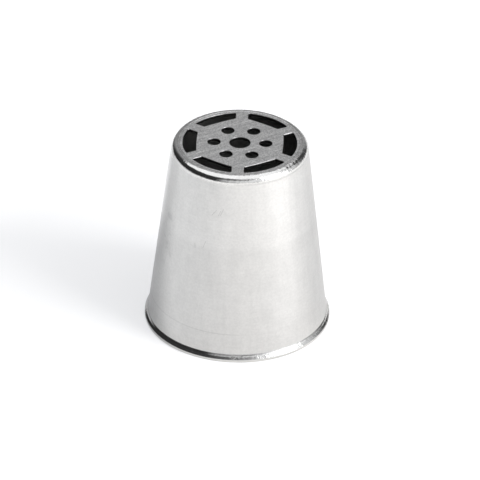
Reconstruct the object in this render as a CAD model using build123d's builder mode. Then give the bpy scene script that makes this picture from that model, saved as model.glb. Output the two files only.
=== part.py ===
from build123d import *
import os
from math import cos, radians, sin, sqrt, tan

# A stainless piping nozzle of the flower kind: a drawn taper shell with a folded rim at the
# base, a pierced face plate set flush in its crown, and the weld under the seam between them.
# The origin is the middle of the base, where the rim stands on the table, and +Z is the axis.

# Overall size, in millimetres and degrees
nozzle_height = 36.6
rim_diameter = 34.0
taper_angle = 6.5           # the wall's lean from the axis
sheet = 0.5                 # shell and plate are cut from the same sheet

# Shoulder between the wall and the crown
shoulder_radius = 1.3
crown_land = 0.3            # flat of the shell inside the shoulder, up to the seam

# Folded rim: the sheet is turned outwards and back up, and its edge is dressed to a slope
fold_clearance = 0.04       # between the wall and the layer folded up beside it
rim_side_height = 0.72      # upright side, up to where the slope starts
rim_slope_angle = 40.0      # the slope's normal above the horizontal
rim_root_radius = 0.5       # hollow where the slope runs into the wall
foot_chamfer = 0.22         # both edges of the flat foot

# Piercings of the face
petal_count = 6
centre_hole_diameter = 3.75
petal_hole_diameter = 2.3
petal_offset = 0.15         # the small holes lie this much inside the middle of the ring left them
plate_margin = 0.56         # metal between the slots and the seam
slot_depth = 2.53           # from the slot's outer arc in to the line through its inner corners
slot_crown = 0.12           # how far the inner edge bows outwards
web_width = 2.3             # metal left between two slots
slot_corner_radius = 0.25
die_roll = 0.08             # bevel that the punch leaves on the outer edges

# Seam and weld
seam_clearance = 0.02
weld_width = 0.5
weld_height = 0.2

# Sizes that follow from those above
lean = radians(taper_angle)
slope = radians(rim_slope_angle)
rim_radius = rim_diameter / 2
crown_radius = rim_radius - sheet - fold_clearance - (nozzle_height - rim_side_height) * tan(lean)
half_corner = (radians(90) + lean) / 2
inner_bevel = (shoulder_radius - sheet) * (1 / sin(half_corner) - 1) / cos(half_corner)
seam_radius = crown_radius - shoulder_radius / tan(half_corner) - crown_land
face_underside = nozzle_height - sheet
slot_outer_radius = seam_radius - plate_margin
slot_inner_distance = slot_outer_radius - slot_depth
petal_ring_radius = (centre_hole_diameter / 2 + slot_inner_distance) / 2 - petal_offset
web_angle = 180 / petal_count


def wall_radius(height):
    """Radius of the wall's outer line at a height."""
    return crown_radius + (nozzle_height - height) * tan(lean)


def bore_radius(height):
    """Radius of the wall's inner line at a height, one sheet in from the outer one."""
    return wall_radius(height) - sheet / cos(lean)


# Corners of the shell's section, as radius and height, before they are rounded
shoulder_corner = Vector(crown_radius, nozzle_height)
inner_shoulder_corner = Vector(bore_radius(face_underside), face_underside)
slope_corner = Vector(rim_radius, rim_side_height)
slope_length = (sheet + fold_clearance) / (sin(slope) - cos(slope) * tan(lean))
slope_root = slope_corner + Vector(-sin(slope), cos(slope)) * slope_length
foot_corner = Vector(rim_radius, 0)
mouth_corner = Vector(bore_radius(0), 0)

# The shell is one sheet: drawn to a taper, turned in at the crown and folded outwards at the base
with BuildPart() as tapered_shell:
    with BuildSketch(Plane.XZ) as shell_section:
        with BuildLine():
            Polyline(
                Vector(seam_radius, nozzle_height),
                shoulder_corner,
                slope_root,
                slope_corner,
                foot_corner,
                mouth_corner,
                inner_shoulder_corner,
                Vector(seam_radius, face_underside),
                close=True,
            )
        make_face()
        fillet(shell_section.vertices().sort_by_distance(shoulder_corner)[0], shoulder_radius)
        # The bend's inside is bevelled so that the sheet keeps its thickness round the shoulder
        chamfer(shell_section.vertices().sort_by_distance(inner_shoulder_corner)[0], inner_bevel)
        fillet(shell_section.vertices().sort_by_distance(slope_root)[0], rim_root_radius)
        chamfer(shell_section.vertices().sort_by_distance(foot_corner)[0], foot_chamfer)
        chamfer(shell_section.vertices().sort_by_distance(mouth_corner)[0], foot_chamfer)
    revolve(axis=Axis.Z)
    tapered_shell.part.label = "tapered_shell"

# One slot, lying on the +X side: an arc outside, a slightly bowed edge inside, and two ends that
# run along the webs, so that the webs between the slots keep one width
half_web = web_width / 2
slot_end = sqrt(slot_outer_radius**2 - half_web**2)
slot_start = (slot_inner_distance - half_web * sin(radians(web_angle))) / cos(radians(web_angle))
outer_end = Vector(slot_end, -half_web).rotate(Axis.Z, web_angle)
inner_end = Vector(slot_start, -half_web).rotate(Axis.Z, web_angle)

with BuildSketch() as slot:
    with BuildLine():
        ThreePointArc(
            Vector(outer_end.X, -outer_end.Y),
            Vector(slot_outer_radius, 0),
            outer_end,
        )
        Line(outer_end, inner_end)
        ThreePointArc(
            inner_end,
            Vector(slot_inner_distance + slot_crown, 0),
            Vector(inner_end.X, -inner_end.Y),
        )
        Line(Vector(inner_end.X, -inner_end.Y), Vector(outer_end.X, -outer_end.Y))
    make_face()
    fillet(slot.vertices(), slot_corner_radius)

# The face plate: a disc pierced for the flower, with the punch's roll on its outer edges
with BuildPart() as face_plate:
    with BuildSketch(Plane.XY.offset(face_underside)):
        Circle(seam_radius - seam_clearance)
        Circle(centre_hole_diameter / 2, mode=Mode.SUBTRACT)
        with PolarLocations(petal_ring_radius, petal_count):
            Circle(petal_hole_diameter / 2, mode=Mode.SUBTRACT)
        with PolarLocations(0, petal_count):
            add(slot.sketch, mode=Mode.SUBTRACT)
    extrude(amount=sheet)
    pierced_face = face_plate.faces().sort_by(Axis.Z)[-1]
    pierced_edges = ShapeList(edge for wire in pierced_face.inner_wires() for edge in wire.edges())
    chamfer(pierced_edges, die_roll)
    face_plate.part.label = "face_plate"

# The weld: a low bead that runs round under the seam and joins the two undersides
with BuildPart() as seam_weld:
    with BuildSketch(Plane.XZ):
        with BuildLine():
            Polyline(
                Vector(seam_radius - weld_width / 2, face_underside),
                Vector(seam_radius + weld_width / 2, face_underside),
                Vector(seam_radius, face_underside - weld_height),
                close=True,
            )
        make_face()
    revolve(axis=Axis.Z)
    seam_weld.part.label = "seam_weld"

os.makedirs("parts", exist_ok=True)
export_step(tapered_shell.part, "parts/tapered_shell.step")
export_step(face_plate.part, "parts/face_plate.step")
export_step(seam_weld.part, "parts/seam_weld.step")
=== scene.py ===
import math

import bmesh
import bpy
from mathutils import Matrix, Vector


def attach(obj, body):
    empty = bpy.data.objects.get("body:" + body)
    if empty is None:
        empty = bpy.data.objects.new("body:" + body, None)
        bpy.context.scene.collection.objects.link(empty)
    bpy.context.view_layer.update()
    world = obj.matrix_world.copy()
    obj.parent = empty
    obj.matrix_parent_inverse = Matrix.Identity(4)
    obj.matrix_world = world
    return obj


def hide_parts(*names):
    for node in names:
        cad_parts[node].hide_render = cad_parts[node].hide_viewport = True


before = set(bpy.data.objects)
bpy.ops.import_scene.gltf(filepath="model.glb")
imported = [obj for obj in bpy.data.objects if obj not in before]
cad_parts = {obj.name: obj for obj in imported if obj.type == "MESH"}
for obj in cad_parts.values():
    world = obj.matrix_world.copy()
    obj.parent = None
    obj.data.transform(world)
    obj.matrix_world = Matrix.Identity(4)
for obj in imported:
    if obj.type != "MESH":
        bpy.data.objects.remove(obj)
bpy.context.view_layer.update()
scene = bpy.context.scene
MM = 0.001

# The shell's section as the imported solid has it, in millimetres apart from the lean
HEIGHT = 36.6
LEAN = math.radians(6.5)
SHEET = 0.5
CROWN_RADIUS = 12.372
SHOULDER_RADIUS = 1.3
SEAM_RADIUS = 10.912

# The scene's own rim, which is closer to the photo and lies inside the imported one, and its roundings
RIM_RADIUS = 16.993
RIM_SIDE = 0.52
RIM_SIDE_ROUND = 0.16
RIM_BEND = (16.626, 0.9)
RIM_ROOT = 1.283
RIM_HOLLOW = 0.4
FOOT = 0.001
FOOT_ROUND = 0.12
SEAM_ROUND = 0.03

# The shell's mesh
STEPS_AROUND = 360
LONGEST_RUN = 1.5


def wall(height):
    """Radius of the wall's outer line at a height."""
    return CROWN_RADIUS + (HEIGHT - height) * math.tan(LEAN)


def bore(height):
    """Radius of the wall's inner line at a height."""
    return wall(height) - SHEET / math.cos(LEAN)


def direction(azimuth, elevation):
    """The way towards an azimuth, from the front and positive to the right, and an elevation."""
    return Vector((
        math.sin(azimuth) * math.cos(elevation),
        -math.cos(azimuth) * math.cos(elevation),
        math.sin(elevation),
    ))


def turned(azimuth):
    """The place of an azimuth, in degrees from the front and positive to the right, on 0 to 1."""
    return azimuth / 360 + 0.5


# Camera: a long lens in front of the nozzle, looking down on its face
CAMERA_DISTANCE = 1.275
CAMERA_LENS = 523.5
CAMERA_SENSOR = 36
CAMERA_CLIP_START = 0.1
CAMERA_CLIP_END = 20
CAMERA_AZIMUTH = math.radians(1.92)
CAMERA_ELEVATION = math.radians(32.2)
CAMERA_ROLL = math.radians(0.96)
PIVOT = Vector((0, 0, 18.3 * MM))
AIM_RIGHT = 0.28 * MM
AIM_DOWN = 2.2 * MM


def camera_axes(forward):
    """Right, up and back of a camera that looks along forward and is rolled by CAMERA_ROLL."""
    level = forward.cross(Vector((0, 0, 1))).normalized()
    upright = level.cross(forward)
    right = level * math.cos(CAMERA_ROLL) + upright * math.sin(CAMERA_ROLL)
    up = upright * math.cos(CAMERA_ROLL) - level * math.sin(CAMERA_ROLL)
    return right, up, -forward


def make_camera():
    away = direction(CAMERA_AZIMUTH, CAMERA_ELEVATION)
    place = PIVOT + away * CAMERA_DISTANCE
    right, up, _ = camera_axes(-away)
    aim = PIVOT + right * AIM_RIGHT - up * AIM_DOWN
    right, up, back = camera_axes((aim - place).normalized())
    data = bpy.data.cameras.new("camera")
    data.lens = CAMERA_LENS
    data.sensor_width = CAMERA_SENSOR
    data.clip_start = CAMERA_CLIP_START
    data.clip_end = CAMERA_CLIP_END
    camera = bpy.data.objects.new("camera", data)
    scene.collection.objects.link(camera)
    camera.matrix_world = Matrix((
        (right.x, up.x, back.x, place.x),
        (right.y, up.y, back.y, place.y),
        (right.z, up.z, back.z, place.z),
        (0, 0, 0, 1),
    ))
    scene.camera = camera


# The range that most values of a noise texture are in
NOISE_LOW = 0.3
NOISE_HIGH = 0.7


class Graph:
    """A node tree with short calls for the nodes that these materials use."""

    def __init__(self, tree):
        self.tree = tree
        tree.nodes.clear()

    def add(self, kind, inputs=None, **settings):
        node = self.tree.nodes.new(kind)
        for name, value in settings.items():
            setattr(node, name, value)
        for name, value in (inputs or {}).items():
            self.feed(node.inputs[name], value)
        return node

    def feed(self, socket, value):
        if isinstance(value, bpy.types.NodeSocket):
            self.tree.links.new(value, socket)
        else:
            socket.default_value = value

    def math(self, operation, *values):
        node = self.add("ShaderNodeMath", operation=operation)
        for index, value in enumerate(values):
            self.feed(node.inputs[index], value)
        return node.outputs[0]

    def chain(self, operation, values):
        """One value out of several, by an operation that takes two at a time."""
        found = values[0]
        for value in values[1:]:
            found = self.math(operation, found, value)
        return found

    def times(self, *values):
        return self.chain("MULTIPLY", values)

    def greatest(self, *values):
        return self.chain("MAXIMUM", values)

    def smooth(self, value, low, high, start=0.0, end=1.0):
        """A smooth step of value from start at low to end at high."""
        node = self.add(
            "ShaderNodeMapRange",
            {"Value": value, "From Min": low, "From Max": high, "To Min": start, "To Max": end},
            interpolation_type="SMOOTHSTEP",
        )
        return node.outputs["Result"]

    def fade(self, value, low, high):
        """1 up to low, and 0 from high on."""
        return self.smooth(value, low, high, 1.0, 0.0)

    def spread(self, noise, start, end):
        """A noise texture's values, spread over start to end."""
        return self.smooth(noise, NOISE_LOW, NOISE_HIGH, start, end)

    def apart(self, value, middle):
        """How far value is from middle, on either side."""
        return self.math("ABSOLUTE", self.math("SUBTRACT", value, middle))

    def near(self, value, middle, inner, outer):
        """1 within inner of middle, and 0 beyond outer."""
        return self.fade(self.apart(value, middle), inner, outer)

    def mix(self, share, first, second):
        node = self.add("ShaderNodeMix", {"Factor": share}, data_type="FLOAT")
        self.feed(node.inputs[2], first)
        self.feed(node.inputs[3], second)
        return node.outputs[0]

    def mix_colours(self, share, first, second):
        node = self.add("ShaderNodeMix", {"Factor": share}, data_type="RGBA")
        self.feed(node.inputs[6], first)
        self.feed(node.inputs[7], second)
        return node.outputs[2]

    def tint(self, value, colour):
        """A colour times a value."""
        node = self.add("ShaderNodeVectorMath", operation="SCALE")
        self.feed(node.inputs[0], colour)
        self.feed(node.inputs["Scale"], value)
        return node.outputs[0]

    def by_azimuth(self, turn, stops, limit):
        """The level at turn, an azimuth on 0 to 1, in straight runs through stops of azimuth and level.

        The ramp's own levels end at 1, so it holds them as shares of limit.
        """
        node = self.add("ShaderNodeValToRGB", {"Fac": turn})
        ramp = node.color_ramp
        ramp.interpolation = "LINEAR"
        while len(ramp.elements) < len(stops):
            ramp.elements.new(0.5)
        for element, (azimuth, level) in zip(ramp.elements, stops):
            share = level / limit
            element.position = turned(azimuth)
            element.color = (share, share, share, 1)
        return self.math("MULTIPLY", node.outputs["Color"], limit)

    def noise(self, place, scale, detail=2.0, roughness=0.5):
        node = self.add(
            "ShaderNodeTexNoise",
            {"Vector": place, "Scale": scale, "Detail": detail, "Roughness": roughness},
        )
        return node.outputs["Fac"]

    def stretch(self, place, scale, turn=0.0):
        """Coordinates turned about Z and then scaled along each axis."""
        spun = self.add("ShaderNodeMapping", {"Vector": place, "Rotation": (0, 0, math.radians(turn))})
        scaled = self.add("ShaderNodeMapping", {"Vector": spun.outputs[0], "Scale": scale})
        return scaled.outputs[0]

    def parts(self, place):
        """The x, y and z of a place or a direction."""
        return self.add("ShaderNodeSeparateXYZ", {"Vector": place}).outputs


def angle_in(g, place):
    """Azimuth in radians, from the front and positive to the right."""
    parts = g.parts(place)
    return g.math("ARCTAN2", parts[0], g.math("MULTIPLY", parts[1], -1.0))


def turn_in(g, place):
    """Azimuth on 0 to 1, with the front at 0.5, as turned gives it for degrees."""
    return g.math("ADD", g.math("DIVIDE", angle_in(g, place), 2 * math.pi), 0.5)


def height_in(g, place):
    """Height above the foot, in millimetres."""
    return g.math("DIVIDE", g.parts(place)[2], MM)


def depth_in(g, place):
    """Depth below the face, in millimetres."""
    return g.math("SUBTRACT", HEIGHT, height_in(g, place))


def radius_in(g, place):
    """Distance from the axis, in millimetres."""
    parts = g.parts(place)
    squares = g.math("ADD", g.math("POWER", parts[0], 2.0), g.math("POWER", parts[1], 2.0))
    return g.math("DIVIDE", g.math("SQRT", squares), MM)


# Room that the metal mirrors: a bright ceiling, a bright side on the right, a dark one on the left
# and a grey back. Its tables give the level by azimuth, in degrees from the front and positive to
# the right, of the low and the high part of the sides, and the elevation where the ceiling starts.
# The camera itself sees plain white
ROOM_LIMIT = 4.0
ROOM_LOW = (
    (-180, 0.25), (-160, 0.32), (-155, 0.31), (-149, 0.22), (-141, 0.08), (-134, 0.035),
    (-36, 0.035), (-24, 0.5), (-19, 0.68), (-8, 0.88), (0, 0.96), (15, 1.1), (36, 1.1), (44, 1.3),
    (50, 2.0), (58, 3.4), (66, 4.0), (78, 2.8), (86, 1.2), (97, 0.85), (107, 0.72), (112, 0.62),
    (115, 0.45), (118, 0.27), (127, 0.09), (143, 0.06), (149, 0.3), (156, 0.44), (168, 0.38),
    (180, 0.25),
)
ROOM_HIGH = (
    (-180, 0.25), (-165, 0.42), (-150, 0.35), (-140, 0.19), (-130, 0.06), (-40, 0.05),
    (-22, 0.13), (-12, 0.13), (0, 0.25), (15, 0.34), (28, 0.42), (38, 0.85), (44, 1.3), (50, 2.0),
    (58, 3.6), (73, 3.6), (86, 1.3), (103, 0.92), (116, 0.32), (124, 0.12), (133, 0.07),
    (153, 0.08), (161, 0.14), (168, 0.28), (180, 0.25),
)
CEILING_EDGE = (
    (-180, 43), (-172, 46), (-160, 50), (-140, 47), (-114, 41), (-100, 48), (-89, 51), (-73, 52),
    (-52, 56), (-28, 60), (15, 62), (28, 66), (50, 60), (121, 51), (144, 48), (160, 46),
    (171, 41.5), (180, 43),
)
CEILING_LIMIT = 90.0
CEILING_LEVEL = 1.3
CEILING_SOFTNESS = 4
ROOM_TINT = (0.98, 0.992, 1.012)
CAMERA_WHITE = (1, 1, 1, 1)

# Elevations at which the sides leave their dimmer foot, and their low part gives way to the high
SIDES_FOOT = (3, 18)
SIDES_FOOT_SHARE = 0.68
LOW_TO_HIGH = (22, 49)

# A dark patch high at the back on the right: its two edges by azimuth and its lower one
PATCH_LEVEL = 0.05
PATCH_START = (128, 140)
PATCH_END = (153, 158)
PATCH_FOOT = (18, 22)


def make_world():
    world = bpy.data.worlds.new("room")
    scene.world = world
    world.use_nodes = True
    g = Graph(world.node_tree)
    way = g.add("ShaderNodeTexCoord").outputs["Generated"]
    turn = turn_in(g, way)
    rise = g.math("DEGREES", g.math("ARCSINE", g.parts(way)[2]))
    low = g.by_azimuth(turn, ROOM_LOW, ROOM_LIMIT)
    low = g.times(low, g.smooth(rise, *SIDES_FOOT, SIDES_FOOT_SHARE, 1.0))
    high = g.by_azimuth(turn, ROOM_HIGH, ROOM_LIMIT)
    side = g.mix(g.smooth(rise, *LOW_TO_HIGH), low, high)
    patch = g.times(
        g.smooth(turn, *map(turned, PATCH_START)),
        g.smooth(rise, *PATCH_FOOT),
        g.fade(turn, *map(turned, PATCH_END)),
    )
    side = g.mix(patch, side, PATCH_LEVEL)
    above = g.math("SUBTRACT", rise, g.by_azimuth(turn, CEILING_EDGE, CEILING_LIMIT))
    level = g.mix(g.smooth(above, -CEILING_SOFTNESS, CEILING_SOFTNESS), side, CEILING_LEVEL)
    seen = g.add("ShaderNodeLightPath").outputs["Is Camera Ray"]
    colour = g.mix_colours(seen, g.tint(level, ROOM_TINT), CAMERA_WHITE)
    light = g.add("ShaderNodeBackground", {"Color": colour, "Strength": 1.0})
    g.add("ShaderNodeOutputWorld", {"Surface": light.outputs[0]})


# Key lamp: a panel at the front right that casts the shadow, and that reflections don't show
KEY_AZIMUTH = math.radians(62.8)
KEY_ELEVATION = math.radians(38.4)
KEY_POWER = 13.3
KEY_COLOUR = (1.0, 0.988, 0.962)
KEY_DISTANCE = 1.5
KEY_WIDTH = 0.6
KEY_HEIGHT = 0.26


def make_key():
    data = bpy.data.lights.new("key", "AREA")
    data.energy = KEY_POWER
    data.color = KEY_COLOUR
    data.shape = "RECTANGLE"
    data.size = KEY_WIDTH
    data.size_y = KEY_HEIGHT
    key = bpy.data.objects.new("key", data)
    scene.collection.objects.link(key)
    source = direction(KEY_AZIMUTH, KEY_ELEVATION)
    key.rotation_mode = "QUATERNION"
    key.rotation_quaternion = source.to_track_quat("Z", "Y")
    key.location = source * KEY_DISTANCE
    key.visible_glossy = False


# Floor: even and white to the camera, with the nozzle's shadow left on it. Its glow is painted light,
# which starts at the foot and isn't under the nozzle, so that the floor there has painted shade
FLOOR_HALF = 1.5
FLOOR_CELLS = 8
FLOOR_DROP = 0.01
FLOOR_WHITE = 0.8
FLOOR_MOTTLE = 0.01
FLOOR_MOTTLE_SCALE = 3.0
FLOOR_MOTTLE_RANGE = (0.2, 0.8)
FLOOR_SEEN = 0.61
FLOOR_GLOW = 0.08
FLOOR_LIFT = 0.46
FLOOR_GLOW_COLOUR = (0.975, 0.98, 1.0, 1)
FLOOR_GLOW_FROM = (16.2, 16.6)

# Its level by azimuth in reflections is painted light and shade: lighter and darker where light falls
# off and shade lies on the floor. It comes in zones: at the foot, near, far, and beyond, which dims
# what the others give.
# Each zone after the first fades in between two distances, in millimetres
FLOOR_LIMIT = 2.0
FLOOR_FOOT_LIGHT_AND_SHADE = (
    (-180, 1.6), (-145, 1.3), (-130, 1.0), (-116, 1.0), (-104, 0.92), (-92, 0.8), (-80, 0.85),
    (-66, 0.92), (-20, 0.95), (0, 0.98), (40, 1.02), (60, 1.08), (72, 0.98), (80, 0.88),
    (97, 0.84), (165, 0.84), (180, 1.6),
)
FLOOR_NEAR_LIGHT_AND_SHADE = (
    (-180, 1.6), (-162, 1.5), (-152, 1.24), (-145, 1.14), (-138, 0.95), (-130, 0.78),
    (-122, 0.75), (-116, 0.78), (-98, 0.94), (-80, 1.0), (-60, 0.92), (-20, 0.95), (0, 0.98),
    (40, 1.02), (60, 1.12), (75, 1.12), (100, 0.93), (120, 0.84), (165, 0.84), (180, 1.6),
)
FLOOR_FAR_LIGHT_AND_SHADE = (
    (-180, 1.6), (-160, 1.55), (-145, 1.15), (-130, 0.73), (-116, 0.8), (-98, 1.08), (-80, 1.15),
    (-60, 1.25), (-30, 1.32), (-15, 1.28), (0, 1.16), (20, 1.17), (40, 1.22), (60, 1.32),
    (75, 1.32), (100, 1.18), (120, 1.05), (160, 1.0), (180, 1.6),
)
FLOOR_BEYOND_LIGHT_AND_SHADE = (
    (-180, 1.0), (-108, 1.0), (-98, 0.7), (-85, 0.42), (-62, 0.18), (-36, 0.18), (-20, 0.55),
    (-5, 0.8), (8, 1.0), (180, 1.0),
)
NEAR_FROM = (22.0, 38.0)
FAR_FROM = (50.0, 120.0)
BEYOND_FROM = (130.0, 230.0)

# Its hue in reflections is painted: cool as shade on the left, warm as light in front, and even on the
# right
FLOOR_COOL_SHADE = (0.991, 1.0, 1.009, 1.0)
FLOOR_WARM_LIGHT = (1.009, 1.0, 0.991, 1.0)
WARM_FROM = (-80, 20)               # azimuths from where it is cool to where it is warm
WARM_UNTIL = (60, 110)              # and from where it is warm to where it is even
EVEN_HUE = 0.5


def new_material(name):
    """A material with an empty node tree, its graph and its object coordinates."""
    material = bpy.data.materials.new(name)
    material.use_nodes = True
    g = Graph(material.node_tree)
    return material, g, g.add("ShaderNodeTexCoord").outputs["Object"]


def floor_material():
    material, g, place = new_material("floor_white")
    seen = g.add("ShaderNodeLightPath").outputs["Is Camera Ray"]
    turn = turn_in(g, place)
    radius = radius_in(g, place)
    # Painted light and shade of the floor, as reflections see it
    foot, near, far, beyond = (
        g.by_azimuth(turn, stops, FLOOR_LIMIT)
        for stops in (FLOOR_FOOT_LIGHT_AND_SHADE, FLOOR_NEAR_LIGHT_AND_SHADE, FLOOR_FAR_LIGHT_AND_SHADE, FLOOR_BEYOND_LIGHT_AND_SHADE)
    )
    level = g.mix(g.smooth(radius, *NEAR_FROM), foot, near)
    level = g.mix(g.smooth(radius, *FAR_FROM), level, far)
    level = g.times(level, g.mix(g.smooth(radius, *BEYOND_FROM), 1.0, beyond))
    level = g.mix(seen, level, FLOOR_SEEN)
    mottle = g.noise(place, FLOOR_MOTTLE_SCALE)
    mottle = g.smooth(mottle, *FLOOR_MOTTLE_RANGE, FLOOR_WHITE - FLOOR_MOTTLE, FLOOR_WHITE)
    # Painted hue of the floor's shade and light, in reflections only
    warmth = g.times(
        g.smooth(turn, *map(turned, WARM_FROM)),
        g.smooth(turn, *map(turned, WARM_UNTIL), 1.0, EVEN_HUE),
    )
    hue = g.mix_colours(g.mix(seen, warmth, EVEN_HUE), FLOOR_COOL_SHADE, FLOOR_WARM_LIGHT)
    paper = g.add("ShaderNodeBsdfDiffuse", {"Color": g.tint(g.times(level, mottle), hue)})
    # Painted light: the floor glows from the foot outwards, and not under the nozzle, which is painted
    # shade
    lift = g.math("MULTIPLY_ADD", seen, FLOOR_LIFT, FLOOR_GLOW)
    lift = g.times(g.smooth(radius, *FLOOR_GLOW_FROM), lift)
    glow = g.add("ShaderNodeEmission", {"Color": FLOOR_GLOW_COLOUR, "Strength": lift})
    both = g.add("ShaderNodeAddShader")
    g.feed(both.inputs[0], paper.outputs[0])
    g.feed(both.inputs[1], glow.outputs[0])
    g.add("ShaderNodeOutputMaterial", {"Surface": both.outputs[0]})
    return material


def make_floor():
    mesh = bpy.data.meshes.new("floor")
    made = bmesh.new()
    bmesh.ops.create_grid(made, x_segments=FLOOR_CELLS, y_segments=FLOOR_CELLS, size=FLOOR_HALF)
    made.to_mesh(mesh)
    made.free()
    floor = bpy.data.objects.new("floor", mesh)
    scene.collection.objects.link(floor)
    floor.location.z = -FLOOR_DROP * MM
    mesh.materials.append(floor_material())


# Metals: the colour of each piece, and the tone and roughness of the parts of its surface
STEEL = (0.688, 0.68, 0.668)
PLATE_STEEL = (0.672, 0.665, 0.655)
WELD_STEEL = (0.56, 0.55, 0.54)
POLISHED_ROUGH = 0.09
LAND_ROUGH = 0.36
# The inside is darker, both as a duller surface and as painted shade within the nozzle
INSIDE_TONE_AND_SHADE = 0.55
INSIDE_ROUGH = 0.5
# The bevels of the holes are darkened so that their highlights are dimmer: painted shade
BEVEL_SHADE_TONE = 0.4
BEVEL_ROUGH = 0.18
# The walls of the holes are darkened: painted shade in the holes
PIERCED_SHADE_TONE = 0.25
QUARTER_TURN = 0.25
SHELL_BRUSHING = 0.5
BUMP_DISTANCE = 0.01
FACE_BUMP_DISTANCE = 0.002

# Range of tone or roughness that each layer of noise gives, and the height of the face's grain
RING_TONES = (1.007, 1.037)
BLOTCH_TONES = (0.978, 1.022)
STREAK_TONES = (0.984, 1.016)
SPECK_TONES = (0.96, 1.04)
WALL_ROUGH = (0.29, 0.33)
GRAIN_TONES = (0.74, 1.26)
SLANT_TONES = (0.9, 1.1)
FACE_ROUGH = (0.33, 0.41)
FACE_GRAIN = 0.6
WELD_TONES = (0.8, 1.0)
WELD_ROUGH = (0.4, 0.55)

# Where the parts of a surface meet, in millimetres
INSIDE_DEPTHS = (0.3, 0.45)         # into the sheet
RIM_TO_WALL = (1.0, 1.5)            # above the foot
WALL_TO_SHOULDER = (35.0, 35.5)     # above the foot
FACE_TO_BEVEL = (0.005, 0.03)       # below the face
BEVEL_TO_HOLE = (0.08, 0.1)         # below the face
LAND_DEPTHS = (0.1, 0.03)           # below the face, from where the land starts to where it is full
LAND_EDGE = (11.2, 11.7)            # from the axis
LAND_ROUGH_EDGE = (11.1, 11.4)      # from the axis

# Scratches of the face: the turn, scale and threshold of each set, and how much lighter they are
FACE_SCRATCHES = ((-34, 800.0, 0.62), (-25, 1300.0, 0.64), (22, 900.0, 0.66), (75, 1100.0, 0.67))
FACE_SCRATCH_STRETCH = (0.05, 1, 1)
FACE_SCRATCH_SOFTNESS = 0.06
FACE_SCRATCH_TONE = 0.13

# Scratches of the wall: the azimuth in degrees and height in millimetres of their two ends
WALL_SCRATCHES = (
    ((-12.6, 28.9), (-10.1, 30.3)), ((-14.2, 28.8), (-12.4, 29.8)), ((-19.6, 28.7), (-15.6, 29.9)),
    ((-32.1, 22.2), (-31.6, 21.3)), ((-25.1, 21.8), (-23.1, 23.3)), ((-32.3, 29.0), (-31.9, 29.2)),
)
WALL_SCRATCH_WIDTH = 0.07
WALL_SCRATCH_END = 0.1
WALL_SCRATCH_TONE = -0.22
WALL_RADIUS = 14.0                  # turns an azimuth into millimetres round the wall

# Darker places near the wall's left edge: azimuth and height, and how far they reach in radians
# round the wall and in millimetres up it, from where they start to fade to where they end
SPECKS_PLACE = (-62, 20.0)
SPECKS_REACH = ((0.05, 0.2), (3.5, 6.5))
SPECKS_THRESHOLD = (0.5, 0.66)
SPOT_PLACE = (-63, 24.3)
SPOT_REACH = ((0.04, 0.1), (0.3, 0.9))
DARKER_PLACES_TONE = -0.13

# Bands of the wall by height in millimetres: painted shade below a step, where the wall mirrors the
# floor nearer the foot, a fine line near the base, whose depth of tone changes between two places
# across in metres, and painted shade in the crease at the rim's root
SHADE_STEP_HEIGHTS = (21.4, 22.6)
SHADE_STEP_TONE = 0.955
LINE_HEIGHT = 5.3
LINE_REACH = (0.04, 0.16)
LINE_ACROSS = (-2.0 * MM, 5.0 * MM)
LINE_DEPTHS = (0.1, 0.02)
# Painted shade in the crease where the rim's root meets the wall
ROOT_SHADE_REACH = (0.05, 0.14)
ROOT_SHADE_TONE = 0.72

# Dents of the rim and the shoulder: their height, and how much of it they have on the left and at
# the back, with the azimuths in radians where that changes
DENTS = 6.5
DENTS_LEFT_SHARE = 0.4
DENTS_LEFT = (math.radians(-14), math.radians(12))
DENTS_BACK_SHARE = 0.4
DENTS_BACK = (2.0, 3.0)

# Height of the fine rings on all of the shell, and what the wall's are higher
RINGS = 0.05
RINGS_ON_WALL = 0.25


def steel(name, tone, roughness, bump, brushing=0.0, bump_distance=BUMP_DISTANCE):
    """A metal material. tone, roughness and bump take the graph and its object coordinates."""
    material, g, place = new_material(name)
    shader = g.add("ShaderNodeBsdfPrincipled")
    shader.inputs["Metallic"].default_value = 1.0
    shader.inputs["Anisotropic"].default_value = brushing
    shader.inputs["Anisotropic Rotation"].default_value = QUARTER_TURN
    g.feed(shader.inputs["Base Color"], tone(g, place))
    g.feed(shader.inputs["Roughness"], roughness(g, place))
    relief = g.add(
        "ShaderNodeBump",
        {"Height": bump(g, place), "Strength": 1.0, "Distance": bump_distance * MM},
    )
    g.feed(shader.inputs["Normal"], relief.outputs[0])
    if brushing:
        tangent = g.add("ShaderNodeTangent", direction_type="RADIAL", axis="Z")
        g.feed(shader.inputs["Tangent"], tangent.outputs[0])
    g.add("ShaderNodeOutputMaterial", {"Surface": shader.outputs[0]})
    return material


def inside(g, place):
    """1 on the surfaces that face the icing, and 0 on the outer ones."""
    outer = g.math("MULTIPLY_ADD", height_in(g, place), -math.tan(LEAN), wall(0))
    depth = g.math("SUBTRACT", outer, radius_in(g, place))
    depth = g.math("MINIMUM", depth, depth_in(g, place))
    return g.smooth(depth, *INSIDE_DEPTHS)


def on_wall(g, place):
    """1 on the wall, and 0 on the rim and the shoulder."""
    high = height_in(g, place)
    return g.times(g.smooth(high, *RIM_TO_WALL), g.fade(high, *WALL_TO_SHOULDER))


def land(g, place):
    """1 on the flat of the shell round the plate, fading out on the shoulder."""
    flat = g.smooth(height_in(g, place), *(HEIGHT - depth for depth in LAND_DEPTHS))
    return g.times(flat, g.fade(radius_in(g, place), *LAND_EDGE))


def face_scratches(g, place):
    """Fine scratches in a few directions, as 0 to 1."""
    found = []
    for turn, scale, threshold in FACE_SCRATCHES:
        lines = g.noise(g.stretch(place, FACE_SCRATCH_STRETCH, turn), scale, detail=1.0)
        found.append(g.smooth(lines, threshold, threshold + FACE_SCRATCH_SOFTNESS))
    return g.greatest(*found)


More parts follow.
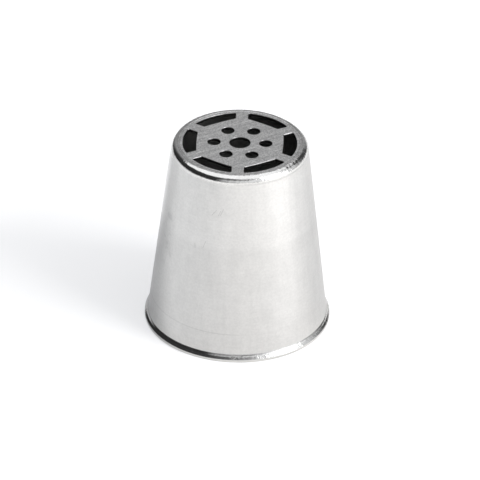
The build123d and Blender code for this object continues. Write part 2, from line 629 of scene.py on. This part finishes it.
def face_grain(g, place):
    """Tone of the ground face: fine grain, slanting streaks and a few scratches."""
    grain = g.noise(place, scale=3600.0, detail=2.0, roughness=0.6)
    slants = g.stretch(place, (0.12, 1, 1), turn=-33)
    slants = g.noise(slants, scale=1700.0, detail=2.0, roughness=0.6)
    tone = g.times(g.spread(grain, *GRAIN_TONES), g.spread(slants, *SLANT_TONES))
    return g.math("ADD", tone, g.times(face_scratches(g, place), FACE_SCRATCH_TONE))


def wall_patch(g, place, middle, reach):
    """1 round a place of azimuth and height on the wall, fading out as far as it reaches."""
    return g.times(
        g.near(angle_in(g, place), math.radians(middle[0]), *reach[0]),
        g.near(height_in(g, place), middle[1], *reach[1]),
    )


def wall_darker_places(g, place):
    """1 on the darker specks and the darker spot near the left edge of the wall."""
    specks = g.smooth(g.noise(place, scale=700.0, detail=3.0, roughness=0.6), *SPECKS_THRESHOLD)
    specks = g.times(wall_patch(g, place, SPECKS_PLACE, SPECKS_REACH), specks)
    return g.greatest(specks, wall_patch(g, place, SPOT_PLACE, SPOT_REACH))


def wall_scratches(g, place):
    """1 on the short scratches of the wall, which run between places of azimuth and height."""
    around = g.times(angle_in(g, place), WALL_RADIUS)
    high = height_in(g, place)
    found = []
    for ends in WALL_SCRATCHES:
        first, last = (Vector((math.radians(end[0]) * WALL_RADIUS, end[1])) for end in ends)
        way = (last - first).normalized()
        middle = (first + last) / 2
        half = (last - first).length / 2
        along = g.math("MULTIPLY_ADD", around, way.x, -middle.dot(way))
        along = g.math("MULTIPLY_ADD", high, way.y, along)
        aside = g.math("MULTIPLY_ADD", around, -way.y, middle.x * way.y - middle.y * way.x)
        aside = g.math("MULTIPLY_ADD", high, way.x, aside)
        line = g.fade(g.math("ABSOLUTE", aside), WALL_SCRATCH_WIDTH / 2, WALL_SCRATCH_WIDTH)
        ends_at = (half - WALL_SCRATCH_END, half + WALL_SCRATCH_END)
        found.append(g.times(line, g.fade(g.math("ABSOLUTE", along), *ends_at)))
    return g.greatest(*found)


def shell_tone(g, place):
    high = height_in(g, place)
    rings = g.noise(g.stretch(place, (1, 1, 12)), scale=160.0, detail=4.0, roughness=0.6)
    blotches = g.noise(place, scale=320.0, detail=3.0)
    streaks = g.noise(g.stretch(place, (1, 1, 0.08)), scale=900.0, detail=2.0)
    specks = g.noise(place, scale=2400.0, detail=3.0, roughness=0.7)
    line = g.near(high, LINE_HEIGHT, *LINE_REACH)
    line = g.times(line, g.smooth(g.parts(place)[0], *LINE_ACROSS, *LINE_DEPTHS))
    tone = g.times(
        g.spread(rings, *RING_TONES),
        g.spread(blotches, *BLOTCH_TONES),
        g.spread(streaks, *STREAK_TONES),
        g.spread(specks, *SPECK_TONES),
        g.math("MULTIPLY_ADD", wall_scratches(g, place), WALL_SCRATCH_TONE, 1.0),
        g.math("MULTIPLY_ADD", wall_darker_places(g, place), DARKER_PLACES_TONE, 1.0),
        # painted shade below the step, as the wall's reflection of the nearer floor
        g.smooth(high, *SHADE_STEP_HEIGHTS, SHADE_STEP_TONE, 1.0),
        g.math("SUBTRACT", 1.0, line),
        # painted shade in the crease at the rim's root
        g.smooth(g.apart(high, RIM_ROOT), *ROOT_SHADE_REACH, ROOT_SHADE_TONE, 1.0),
    )
    tone = g.mix(land(g, place), tone, face_grain(g, place))
    # painted shade inside the nozzle, on top of its duller tone
    tone = g.times(tone, g.mix(inside(g, place), 1.0, INSIDE_TONE_AND_SHADE))
    return g.tint(tone, STEEL)


def shell_roughness(g, place):
    rings = g.noise(g.stretch(place, (1, 1, 25)), scale=200.0, detail=4.0, roughness=0.6)
    rough = g.mix(on_wall(g, place), POLISHED_ROUGH, g.spread(rings, *WALL_ROUGH))
    rough = g.mix(g.fade(radius_in(g, place), *LAND_ROUGH_EDGE), rough, LAND_ROUGH)
    return g.mix(inside(g, place), rough, INSIDE_ROUGH)


def shell_bump(g, place):
    share = on_wall(g, place)
    angle = angle_in(g, place)
    rings = g.noise(g.stretch(place, (1, 1, 30)), scale=300.0, detail=4.0, roughness=0.7)
    rings = g.times(rings, g.math("ADD", g.times(share, RINGS_ON_WALL), RINGS))
    coarse = g.noise(place, scale=600.0, detail=1.0)
    fine = g.noise(place, scale=1900.0, detail=3.0, roughness=0.6)
    round_share = g.times(
        g.smooth(angle, *DENTS_LEFT, DENTS_LEFT_SHARE, 1.0),
        g.smooth(angle, *DENTS_BACK, 1.0, DENTS_BACK_SHARE),
    )
    dents = g.times(g.math("ADD", coarse, fine), g.math("SUBTRACT", 1.0, share), round_share)
    return g.math("MULTIPLY_ADD", dents, DENTS, rings)


def face_tone(g, place):
    depth = depth_in(g, place)
    tone = g.times(
        face_grain(g, place),
        # painted shade on the bevels, which dims their highlights
        g.smooth(depth, *FACE_TO_BEVEL, 1.0, BEVEL_SHADE_TONE),
        # painted shade on the walls of the holes
        g.smooth(depth, *BEVEL_TO_HOLE, 1.0, PIERCED_SHADE_TONE),
    )
    return g.tint(tone, PLATE_STEEL)


def face_roughness(g, place):
    depth = depth_in(g, place)
    grain = g.noise(place, scale=1500.0, detail=3.0, roughness=0.6)
    rough = g.mix(g.smooth(depth, *FACE_TO_BEVEL), g.spread(grain, *FACE_ROUGH), BEVEL_ROUGH)
    return g.mix(g.smooth(depth, *BEVEL_TO_HOLE), rough, INSIDE_ROUGH)


def face_bump(g, place):
    grain = g.noise(place, scale=2200.0, detail=3.0, roughness=0.7)
    return g.math("SUBTRACT", g.times(grain, FACE_GRAIN), face_scratches(g, place))


def weld_tone(g, place):
    return g.tint(g.spread(g.noise(place, scale=700.0, detail=3.0), *WELD_TONES), WELD_STEEL)


def weld_roughness(g, place):
    return g.spread(g.noise(place, scale=900.0, detail=2.0), *WELD_ROUGH)


def weld_bump(g, place):
    return g.noise(place, scale=900.0, detail=3.0)


# Pieces
def rounded(corner, before, after, radius, steps):
    """Points of the arc that rounds a corner between the points before and after it."""
    corner, before, after = Vector(corner), Vector(before), Vector(after)
    to_before = (before - corner).normalized()
    to_after = (after - corner).normalized()
    half = to_before.angle(to_after) / 2
    length = radius / math.tan(half)
    middle = corner + (to_before + to_after).normalized() * (radius / math.sin(half))
    first = corner + to_before * length - middle
    last = corner + to_after * length - middle
    sweep = first.angle_signed(last)
    return [middle + Matrix.Rotation(-sweep * k / steps, 2) @ first for k in range(steps + 1)]


def divided(points, longest):
    """The closed line through points, with its long runs cut into pieces no longer than longest."""
    found = []
    for first, last in zip(points, points[1:] + points[:1]):
        first, last = Vector(first), Vector(last)
        pieces = max(1, math.ceil((last - first).length / longest))
        found += [first.lerp(last, k / pieces) for k in range(pieces)]
    return found


def shell_section():
    """The shell's closed section, from corners with the radius and the steps of their rounding."""
    underside = HEIGHT - SHEET
    corners = (
        ((SEAM_RADIUS, HEIGHT), SEAM_ROUND, 3),
        ((CROWN_RADIUS, HEIGHT), SHOULDER_RADIUS, 28),
        ((wall(RIM_ROOT), RIM_ROOT), RIM_HOLLOW, 8),
        (RIM_BEND, RIM_HOLLOW, 6),
        ((RIM_RADIUS, RIM_SIDE), RIM_SIDE_ROUND, 8),
        ((RIM_RADIUS, FOOT), FOOT_ROUND, 8),
        ((bore(0), FOOT), FOOT_ROUND, 6),
        ((bore(underside), underside), SHOULDER_RADIUS - SHEET, 12),
        ((SEAM_RADIUS, underside), SEAM_ROUND, 2),
    )
    points = []
    for index, (corner, radius, steps) in enumerate(corners):
        before = corners[index - 1][0]
        after = corners[(index + 1) % len(corners)][0]
        points += rounded(corner, before, after, radius, steps)
    return divided(points, LONGEST_RUN)


def lathe(name, section, around):
    """A ring whose section is a closed line of radius and height, in millimetres."""
    made = bmesh.new()
    rings = []
    for index in range(around):
        angle = 2 * math.pi * index / around
        across = Vector((math.cos(angle), math.sin(angle)))
        rings.append([
            made.verts.new((across.x * p[0] * MM, across.y * p[0] * MM, p[1] * MM)) for p in section
        ])
    for index, ring in enumerate(rings):
        following = rings[(index + 1) % around]
        for k in range(len(section)):
            n = (k + 1) % len(section)
            made.faces.new((ring[k], ring[n], following[n], following[k]))
    bmesh.ops.recalc_face_normals(made, faces=made.faces)
    mesh = bpy.data.meshes.new(name)
    made.to_mesh(mesh)
    made.free()
    mesh.shade_smooth()
    piece = bpy.data.objects.new(name, mesh)
    scene.collection.objects.link(piece)
    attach(piece, "root")
    return piece


make_camera()
make_world()
make_key()
make_floor()

shell_steel = steel("shell_steel", shell_tone, shell_roughness, shell_bump, brushing=SHELL_BRUSHING)
face_steel = steel("face_steel", face_tone, face_roughness, face_bump, bump_distance=FACE_BUMP_DISTANCE)
weld_steel = steel("weld_steel", weld_tone, weld_roughness, weld_bump)

shell = lathe("shell", shell_section(), STEPS_AROUND)
shell.data.materials.append(shell_steel)
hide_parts("tapered_shell")

for node, material in (("face_plate", face_steel), ("seam_weld", weld_steel)):
    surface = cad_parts[node]
    for index in range(len(surface.material_slots)):
        surface.material_slots[index].material = material

scene.view_settings.view_transform = "Standard"
